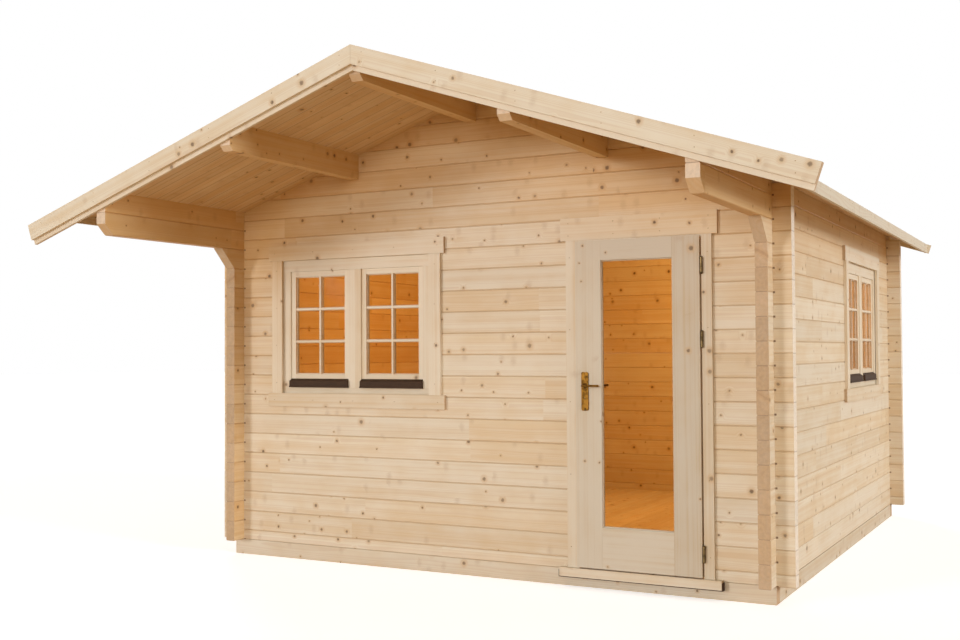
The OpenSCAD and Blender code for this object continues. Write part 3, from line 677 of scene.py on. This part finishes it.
def carried(profile, starts, across, up, along):
    """Boards of one profile: start + u * across + v * up, carried straight along to the far end.

    The profile runs anticlockwise, and it is turned round where across, up and along are
    left-handed, so that the faces point outwards.
    """
    profile = np.asarray(profile, float)
    starts = np.atleast_2d(starts).astype(float)
    if np.dot(np.cross(across, up), along) < 0:
        profile = profile[::-1]
    count, n = len(starts), len(profile)
    ring = profile[:, :1] * across + profile[:, 1:] * up
    both = np.stack([ring, ring + along])
    points = (starts[:, None, None, :] + both[None]).reshape(-1, 3)
    k = np.arange(n)
    sides = np.stack([k, (k + 1) % n, (k + 1) % n + n, k + n], axis=1)
    first = np.arange(count) * 2 * n
    quads = (first[:, None, None] + sides[None]).reshape(-1, 4).tolist()
    caps = np.concatenate([first[:, None] + k[::-1], first[:, None] + n + k]).tolist()
    return points, quads + caps


def mitred(profile, half_w, half_h, middle, across, up, out):
    """A frame with mitred corners: at each corner, a profile's point (u, v) lies u inside the
    opening's edges and v out along the frame's depth."""
    profile = np.asarray(profile, float)
    if np.dot(np.cross(across, up), out) > 0:
        profile = profile[::-1]
    corners = np.array([[-1, -1], [1, -1], [1, 1], [-1, 1]], float)
    u, v = profile[:, 0], profile[:, 1]
    points = (np.asarray(middle) + corners[:, :1, None] * (half_w - u)[None, :, None] * across
              + corners[:, 1:, None] * (half_h - u)[None, :, None] * up + v[None, :, None] * out)
    n = len(profile)
    k, j = np.meshgrid(np.arange(4), np.arange(n), indexing="ij")
    after, beside = (k + 1) % 4, (j + 1) % n
    quads = np.stack([k * n + j, k * n + beside, after * n + beside, after * n + j], axis=-1)
    return points.reshape(-1, 3), quads.reshape(-1, 4).tolist()


def ring_quads(rings, sides):
    """The faces between rings of points that follow each other, four neighbours to each."""
    j, k = np.meshgrid(np.arange(rings - 1), np.arange(sides), indexing="ij")
    after = (k + 1) % sides
    quads = [j * sides + k, j * sides + after, (j + 1) * sides + after, (j + 1) * sides + k]
    return np.stack(quads, axis=-1).reshape(-1, 4)


def turned(profile, places, axis, sides=10):
    """A turned shape at each place: a profile of (radius, height) points spun round an axis, as
    place + height * axis + radius * (cos a * first + sin a * second), with flat ends."""
    axis = np.asarray(axis, float)
    first = np.cross(axis, Z_AXIS if abs(axis[2]) < 0.9 else X_AXIS)
    first /= np.linalg.norm(first)
    second = np.cross(axis, first)
    radius, height = np.asarray(profile, float).T
    angle = np.arange(sides) * 2 * np.pi / sides
    rim = np.cos(angle)[:, None] * first + np.sin(angle)[:, None] * second
    shape = height[:, None, None] * axis + radius[:, None, None] * rim
    places = np.atleast_2d(places).astype(float)
    points = (places[:, None, None, :] + shape[None]).reshape(-1, 3)
    m = len(radius)
    start = np.arange(len(places)) * m * sides
    walls = (start[:, None, None] + ring_quads(m, sides)[None]).reshape(-1, 4).tolist()
    foot = start[:, None] + np.arange(sides)[::-1]
    head = start[:, None] + (m - 1) * sides + np.arange(sides)
    return points, walls + np.concatenate([foot, head]).tolist()


def board_profile(w, t, under, over, gap=0.0006):
    """Section of a board: width along u and thickness up v, with a chamfer under and over."""
    a, b = gap / 2, w - gap / 2
    return [(a + under, 0), (b - under, 0), (b, under), (b, t - over), (b - over, t), (a + over, t),
            (a, t - over), (a, under)]


# Roof boards: each runs down the slope, with a groove at each joint below
roof_section = board_profile(roof_board_w, ROOF_T / COS_PITCH, under=0.0035, over=0.0012)
for side, name in ((1, "right_roof_boards"), (-1, "left_roof_boards")):
    low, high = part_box(name)
    inner, outer = sorted((abs(low.x), abs(high.x)))
    starts = np.zeros((ROOF_BOARDS, 3))
    starts[:, 0] = side * inner
    starts[:, 1] = low.y + np.arange(ROOF_BOARDS) * roof_board_w
    starts[:, 2] = RIDGE_UNDERSIDE - SLOPE * inner
    run = np.array([side * (outer - inner), 0.0, -SLOPE * (outer - inner)])
    boards = piece(name + "_laid", *carried(roof_section, starts, Y_AXIS, Z_AXIS, run), roof_finish,
                   "cabin", "roof_wood")
    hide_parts(name)

# Floor boards
floor_section = board_profile(floor_board_w, floor_high.z - floor_low.z, under=0.001, over=0.002)
starts = np.zeros((FLOOR_BOARDS, 3)) + np.array(floor_low)
starts[:, 0] += np.arange(FLOOR_BOARDS) * floor_board_w
planks = piece("floor_boards_laid", *carried(floor_section, starts, X_AXIS, Z_AXIS,
                                             Y_AXIS * (floor_high.y - floor_low.y)),
               floor_finish, "cabin", "ground_wood")
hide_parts("floor_boards")

# Window bars and glazing beads
BAR_W, BAR_D, CROSS_BAR_D = 0.022, 0.0165, 0.0165 * 0.96


def bar_section(d):
    """Section of a window bar: flat in front, with bevelled sides."""
    half, flat = BAR_W / 2, BAR_W * 0.3
    return [(-half, 0), (half, 0), (half, d * 0.35), (flat, d), (-flat, d), (-half, d * 0.35)]


def bead_section(size):
    """Section of a glazing bead against the frame: it slants from the frame to the glass."""
    return [(0, 0), (size, 0), (size, size * 0.3), (size * 0.35, size), (0, size)]


PANE_BEAD, DOOR_BEAD = bead_section(0.005), bead_section(0.006)
for window, across, inward, origin in (
        ("front_window", X_AXIS, Y_AXIS, np.array([WINDOW_X, FRONT_FACE, 0.0])),
        ("side_window", Y_AXIS, -X_AXIS, np.array([SIDE_FACE, SIDE_WINDOW_Y, 0.0]))):
    low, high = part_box(window + "_glass")
    half_w, half_h = PANE_W / 2, (high.z - low.z) / 2
    bars, beads = [], []
    for sash_x in (-SASH_X, SASH_X):
        for out, depth in zip((-inward, inward), PANE_FACES):
            middle = origin + across * sash_x + inward * depth + Z_AXIS * (low.z + high.z) / 2
            foot = middle - Z_AXIS * half_h
            left = middle - across * half_w
            levels = np.array([left + Z_AXIS * half_h * share for share in (-1 / 3, 1 / 3)])
            bars.append(carried(bar_section(BAR_D), foot, across, out, Z_AXIS * 2 * half_h))
            bars.append(carried(bar_section(CROSS_BAR_D), levels, Z_AXIS, out, across * 2 * half_w))
            beads.append(mitred(PANE_BEAD, half_w, half_h, middle, across, Z_AXIS, out))
    piece(window + "_bars", *gathered(*bars), sash_finishes[window], "cabin", "trim_wood")
    piece(window + "_beads", *gathered(*beads), sash_finishes[window], "cabin", "trim_wood")

low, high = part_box("door_glass")
half_w, half_h = (high.x - low.x) / 2, (high.z - low.z) / 2
middle = np.array([(low.x + high.x) / 2, 0.0, (low.z + high.z) / 2])
door_beads = [mitred(DOOR_BEAD, half_w, half_h, middle + Y_AXIS * y, X_AXIS, Z_AXIS, out)
              for out, y in ((-Y_AXIS, low.y), (Y_AXIS, high.y))]
piece("door_glass_beads", *gathered(*door_beads), leaf_finish, "door", "trim_wood")

# Painted shadow: a dark strip under the door sill's lip and round its ends, where the sill casts
# its shadow line
SILL_SHADOW, SILL_SHADOW_DROP, SILL_SHADOW_SET = 0.005, 0.012, 0.004
low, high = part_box("door_sill")
left, right, under, top = low.x - SILL_SHADOW, high.x + SILL_SHADOW, low.z - SILL_SHADOW, high.z - SILL_SHADOW_DROP
sill_shadow_depth = FRONT_FACE - low.y - SILL_SHADOW_SET
sill_shadow_section = [(left, under), (right, under), (right, top), (high.x, top), (high.x, low.z),
                (low.x, low.z), (low.x, top), (left, top)]
sill_shadow_start = np.array([0.0, FRONT_FACE - sill_shadow_depth, 0.0])
piece("door_sill_painted_shadow", *carried(sill_shadow_section, sill_shadow_start, X_AXIS, Z_AXIS, Y_AXIS * sill_shadow_depth),
      rail_finish, "cabin", "drip_rail")


# Door furniture
def bent_arm(foot, out, along, stand, bend, reach, neck, grip, sides=18):
    """A door lever: a round bar that stands out from its foot, turns through a quarter circle of
    radius bend and runs on along the door to its rounded tip.

    Its path is straight, then
    foot + out * (stand - bend + bend * sin a) + along * bend * (1 - cos a), then straight again.
    Round each place of the path lies the oval wide * cos t * side + tall * sin t * up, which
    narrows from the neck to the flat grip and closes at the tip by the root of 1 - s^2.
    """
    first = np.linspace(0.0, 1.0, 5)[:-1]
    turn = np.linspace(0.0, np.pi / 2, 9)
    run = np.linspace(0.0, 1.0, 12)[1:]
    tip = np.sin(np.linspace(0.0, np.pi / 2, 6))[1:-1]
    straight = stand - bend
    cap = grip[1]
    level = bend + run * (reach - cap - bend)
    outward = np.concatenate([first * straight, straight + bend * np.sin(turn),
                              np.full(len(run) + len(tip), stand)])
    sideways = np.concatenate([np.zeros(len(first)), bend * (1 - np.cos(turn)), level,
                               reach - cap + tip * cap])
    angle = np.concatenate([np.zeros(len(first)), turn, np.full(len(run) + len(tip), np.pi / 2)])
    share = np.clip(sideways / (0.45 * reach), 0.0, 1.0)
    swell = 1 + 0.16 * np.clip((sideways / reach - 0.55) / 0.45, 0.0, 1.0)
    close = np.concatenate([np.ones(len(sideways) - len(tip)), np.sqrt(1 - tip ** 2)])
    wide = (neck + (grip[0] - neck) * share) * swell * close
    tall = (neck + (grip[1] - neck) * share) * swell * close
    path = foot + outward[:, None] * out + sideways[:, None] * along
    side = -np.sin(angle)[:, None] * out + np.cos(angle)[:, None] * along
    up = np.cross(out, along)
    t = np.arange(sides) * 2 * np.pi / sides
    rings = (path[:, None] + (wide[:, None] * np.cos(t))[:, :, None] * side[:, None]
             + (tall[:, None] * np.sin(t))[:, :, None] * up)
    ring = np.arange(sides)
    caps = [ring[::-1].tolist(), ((len(path) - 1) * sides + ring).tolist()]
    return rings.reshape(-1, 3), ring_quads(len(path), sides).tolist() + caps


def keyhole(foot, out, along, r, drop):
    """Painted shade for a keyhole: a dark shape where the hole lies in shadow, a round head over
    a slot that widens, carried a hair proud.
    """
    a = np.radians(np.linspace(-60, 240, 13))
    head = np.stack([r * np.cos(a), r * np.sin(a)], axis=1)
    slot = np.array([[-r * 0.75, -drop], [r * 0.75, -drop]])
    return carried(np.concatenate([head, slot]), foot, along, Z_AXIS, out * 0.0004)


LEVER_BEND, LEVER_NECK, LEVER_GRIP = 0.016, 0.0085, (0.0062, 0.0058)
LEVER_ROSE = [(0.0145, 0.0), (0.0145, 0.002), (0.0125, 0.0042), (0.0105, 0.005), (0.0092, 0.005)]
KEYHOLE_ROSE = [(0.0105, 0.0), (0.0105, 0.0012), (0.009, 0.0018)]
KEYHOLE_DROP, KEYHOLE_R, KEYHOLE_L = 0.072, 0.0032, 0.0085
SCREW_HEAD = [(0.0042, 0.0), (0.004, 0.0007), (0.0026, 0.0014)]
SCREW_INSET = 0.012
plate_low, plate_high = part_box("door_handle_plates")
lever_low, lever_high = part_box("door_lever")
handle = np.array([(plate_low.x + plate_high.x) / 2, (plate_low.y + plate_high.y) / 2,
                   (lever_low.z + lever_high.z) / 2])
plate_face = (plate_high.y - plate_low.y) / 2
lever_stand = (lever_high.y - lever_low.y) / 2 - GRIP_R - plate_face
lever_reach = lever_high.x - handle[0]
arms, trims, hole_shades = [], [], []
for out in (-Y_AXIS, Y_AXIS):
    face = handle + out * plate_face
    arms.append(bent_arm(face + out * SEAT_GAP, out, X_AXIS, lever_stand, LEVER_BEND, lever_reach,
                         LEVER_NECK, LEVER_GRIP))
    trims.append(turned(LEVER_ROSE, face, out, 24))
    keyhole_place = face - Z_AXIS * KEYHOLE_DROP
    trims.append(turned(KEYHOLE_ROSE, keyhole_place, out, 20))
    hole_shades.append(keyhole(keyhole_place + out * KEYHOLE_ROSE[-1][1], out, X_AXIS, KEYHOLE_R,
                           KEYHOLE_L))
    screws = np.array([[handle[0], face[1], plate_low.z + SCREW_INSET],
                       [handle[0], face[1], plate_high.z - SCREW_INSET]])
    trims.append(turned(SCREW_HEAD, screws, out, 12))
lever = piece("door_lever_cast", *gathered(*arms), brass_finish, "lever", "brass", smooth=True)
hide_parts("door_lever")
piece("handle_plate_fittings", *gathered(*trims), brass_finish, "door", "brass")
# The keyhole shapes are painted shade, dark where the holes lie in shadow
piece("keyhole_painted_shades", *gathered(*hole_shades), hinge_finish, "door", "dark_metal")

# Domed ends of the hinge barrels
HINGE_DOME = [(HINGE_R, 0.0), (HINGE_R * 0.95, 0.0018), (HINGE_R * 0.74, 0.0038),
              (HINGE_R * 0.4, 0.005), (HINGE_R * 0.12, 0.0054)]
leaf_low, leaf_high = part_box("door_leaf")
knuckle_low, knuckle_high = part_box("door_hinge_knuckles")
hinges = np.zeros((3, 3))
hinges[:, 0] = knuckle_high.x - HINGE_R
hinges[:, 1] = knuckle_low.y + HINGE_R
hinges[:, 2] = leaf_low.z + HINGE_SHARES * (leaf_high.z - leaf_low.z)
hinge_end = Z_AXIS * (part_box("door_hinge_pins")[1].z - hinges[2, 2] + SEAT_GAP / 2)
for name, places, axis, body in (("hinge_top_caps", hinges + hinge_end, Z_AXIS, "door"),
                                 ("hinge_bottom_caps", hinges - hinge_end, -Z_AXIS, "cabin")):
    piece(name, *turned(HINGE_DOME, places, axis, 20), hinge_finish, body, "dark_metal",
          smooth=True)

# Nail heads in the verge boards, fascias and casings
NAIL = [(0.0026, 0.0), (0.0026, 0.0005), (0.0018, 0.001)]
FRONT_VERGE_NAILS, BACK_VERGE_NAILS = (2.30, (0.026, 0.078)), (2.08, (0.02, 0.055))
RIDGE_INSET, FASCIA_INSET, FASCIA_EDGE = 0.07, 0.12, 0.018
CASING_SIDE, CASING_END, CASING_FOOT, CASING_HEAD = 0.07, 0.05, 0.045, 0.051
CASING_UP, CASING_DOWN = 0.16, 0.17
HEAD_END, HEAD_EDGE, POST_SIDE, POST_UP, POST_DOWN = 0.05, 0.03, 0.024, 0.12, 0.1


def pairs(first, second):
    """Every pair of two rows of numbers, as a list of two columns."""
    return np.stack(np.meshgrid(first, second, indexing="ij"), axis=-1).reshape(-1, 2)


def facing_front(spots, y):
    """Places of (x, z) pairs on a face that looks forward or back."""
    return np.stack([spots[:, 0], np.full(len(spots), y), spots[:, 1]], axis=1)


def facing_side(spots, x):
    """Places of (y, z) pairs on a face that looks to a side."""
    return np.stack([np.full(len(spots), x), spots[:, 0], spots[:, 1]], axis=1)


def nailed(name, rows):
    """Nail heads of one set of boards: rows of (places, direction)."""
    piece(name, *gathered(*[turned(NAIL, places, out, 8) for places, out in rows]), nail_finish,
          "cabin", "dark_metal")


verge_top = cad_high.z + SLOPE * SEAT_GAP
verge_rows = []
for y, out, (reach, drops) in ((cad_low.y, -Y_AXIS, FRONT_VERGE_NAILS),
                               (cad_high.y, Y_AXIS, BACK_VERGE_NAILS)):
    spots = pairs(np.linspace(RIDGE_INSET, reach, 6), drops)
    heights = verge_top - SLOPE * spots[:, 0] - spots[:, 1]
    for side in (-1, 1):
        verge_rows.append((facing_front(np.stack([side * spots[:, 0], heights], axis=1), y), out))
fascia_low, fascia_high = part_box("eave_fascias")
spots = pairs(np.linspace(fascia_low.y + FASCIA_INSET, fascia_high.y - FASCIA_INSET, 9),
              (fascia_low.z + FASCIA_EDGE, fascia_high.z - FASCIA_EDGE))
verge_rows += [(facing_side(spots, side * fascia_high.x), side * X_AXIS) for side in (-1, 1)]
nailed("verge_and_fascia_nails", verge_rows)


def casing_spots(first, last, foot, head):
    """Nails of a window's casing: down its side boards, and along its head and foot."""
    down = pairs((first + CASING_SIDE, last - CASING_SIDE),
                 np.linspace(foot + CASING_UP, head - CASING_DOWN, 4))
    level = pairs(np.linspace(first + CASING_END, last - CASING_END, 5),
                  (foot + CASING_FOOT, head - CASING_HEAD))
    return np.concatenate([down, level])


low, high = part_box("side_window_casing")
front_spots = casing_spots(casing_low.x, casing_high.x, casing_low.z, casing_high.z)
side_spots = casing_spots(low.y, high.y, low.z, high.z)
post_low, post_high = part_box("door_frame")
door_spots = np.concatenate([
    pairs(np.linspace(head_low.x + HEAD_END, head_high.x - HEAD_END, 4),
          (head_low.z + HEAD_EDGE, head_high.z - HEAD_EDGE)),
    pairs((post_low.x + POST_SIDE, post_high.x - POST_SIDE),
          np.linspace(post_low.z + POST_UP, head_low.z - POST_DOWN, 5))])
nailed("casing_nails", [(facing_front(front_spots, casing_low.y), -Y_AXIS),
                        (facing_side(side_spots, high.x), X_AXIS),
                        (facing_front(door_spots, head_low.y), -Y_AXIS)])

# Stage, light and camera
FLOOR_REACH = 60.0
FLOOR_SEEN, FLOOR_GLOW = (0.92, 0.92, 0.92, 1.0), 0.5
FLOOR_BOUNCE = (0.71, 0.45, 0.23, 1.0)
SKY_LIGHT, SKY_STRENGTH = (1.0, 0.94, 0.8, 1.0), 0.43
DAYLIGHT = (0.98, 1.0, 1.08)
LAMPLIGHT, LAMP_R = (1.0, 0.53, 0.16), 0.25
CAMERA_PLACE, CAMERA_LENS = (3.4519, -7.7020, 1.3771), 43.62
YAW, TILT, ROLL = math.radians(28.203), math.radians(1.5946), math.radians(-0.3045)


def shown(f):
    """1 where the background itself is seen, also in metal and glass, and 0 where it lights."""
    rays = [f.add("ShaderNodeLightPath", output="Is %s Ray" % kind)
            for kind in ("Camera", "Glossy", "Transmission")]
    return (rays[0] + rays[1] + rays[2]).over(0.5)


def pale_floor(name):
    """A pale floor that shows white where nothing shades it, and gives warm light back."""
    f = Finish(name)
    seen = shown(f)
    ground = f.add("ShaderNodeBsdfDiffuse", (), {"Color": f.blend(seen, FLOOR_BOUNCE, FLOOR_SEEN)})
    glow = f.add("ShaderNodeEmission", (), {"Color": WHITE, "Strength": seen * FLOOR_GLOW})
    return f.close(f.add("ShaderNodeAddShader", (), {0: ground, 1: glow}))


def studio_sky(name):
    """Even warm light from all round, and white where it is seen, also in metal and glass."""
    f = Finish(name, bpy.data.worlds.new(name))
    seen = shown(f)
    sky = f.add("ShaderNodeBackground", (), {"Color": f.blend(seen, SKY_LIGHT, WHITE),
                                             "Strength": pick(seen, 1.0, SKY_STRENGTH)})
    return f.close(sky, "ShaderNodeOutputWorld")


def sun(name, bearing, height, strength, softness):
    """A soft far light: bearing in degrees from the front, to the right, and height in degrees."""
    lamp = bpy.data.lights.new(name, "SUN")
    lamp.energy = strength
    lamp.angle = math.radians(softness)
    lamp.color = DAYLIGHT
    made = bpy.data.objects.new(name, lamp)
    made.rotation_euler = (math.radians(90 - height), 0.0, math.radians(bearing))
    bpy.context.scene.collection.objects.link(made)


def lamp_inside(name, place, power):
    """A warm lamp inside the cabin."""
    lamp = bpy.data.lights.new(name, "POINT")
    lamp.energy = power
    lamp.color = LAMPLIGHT
    lamp.shadow_soft_size = LAMP_R
    made = bpy.data.objects.new(name, lamp)
    made.location = place
    bpy.context.scene.collection.objects.link(made)


ground = bpy.data.meshes.new("pale_floor")
corners = FLOOR_REACH * np.array([(-1, -1, 0), (1, -1, 0), (1, 1, 0), (-1, 1, 0)])
ground.from_pydata(corners.tolist(), [], [(0, 1, 2, 3)])
ground.materials.append(pale_floor("pale_floor"))
ground_obj = bpy.data.objects.new("pale_floor", ground)
bpy.context.scene.collection.objects.link(ground_obj)
ground_obj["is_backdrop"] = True
bpy.context.scene.world = studio_sky("studio")

sun("key_light", bearing=-31.0, height=8.0, strength=1.09, softness=14.0)
sun("front_light", bearing=8.0, height=3.0, strength=0.74, softness=12.0)
sun("side_light", bearing=84.0, height=15.0, strength=1.74, softness=20.0)
sun("back_light", bearing=-140.0, height=24.0, strength=0.9, softness=20.0)
lamp_inside("warm_lamp_front", (-0.5, -0.2, 1.9), power=24.0)
lamp_inside("warm_lamp_door", (1.0, 0.8, 1.9), power=36.0)
lamp_inside("warm_lamp_back", (0.9, 1.9, 1.9), power=14.0)

right = np.array([math.cos(YAW), math.sin(YAW), 0.0])
ahead = np.array([-math.sin(YAW), math.cos(YAW), 0.0])
forward = ahead * math.cos(TILT) + Z_AXIS * math.sin(TILT)
upward = np.cross(right, forward)
axes = np.eye(4)
axes[:3, 0] = math.cos(ROLL) * right + math.sin(ROLL) * upward
axes[:3, 1] = -math.sin(ROLL) * right + math.cos(ROLL) * upward
axes[:3, 2] = -forward
axes[:3, 3] = CAMERA_PLACE
camera_data = bpy.data.cameras.new("camera")
camera_data.lens = CAMERA_LENS
camera_data.sensor_width = 36.0
camera_data.sensor_fit = "HORIZONTAL"
camera = bpy.data.objects.new("camera", camera_data)
camera.matrix_world = Matrix(axes.tolist())
bpy.context.scene.collection.objects.link(camera)
bpy.context.scene.camera = camera
bpy.context.scene.view_settings.view_transform = "Standard"

low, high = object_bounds()
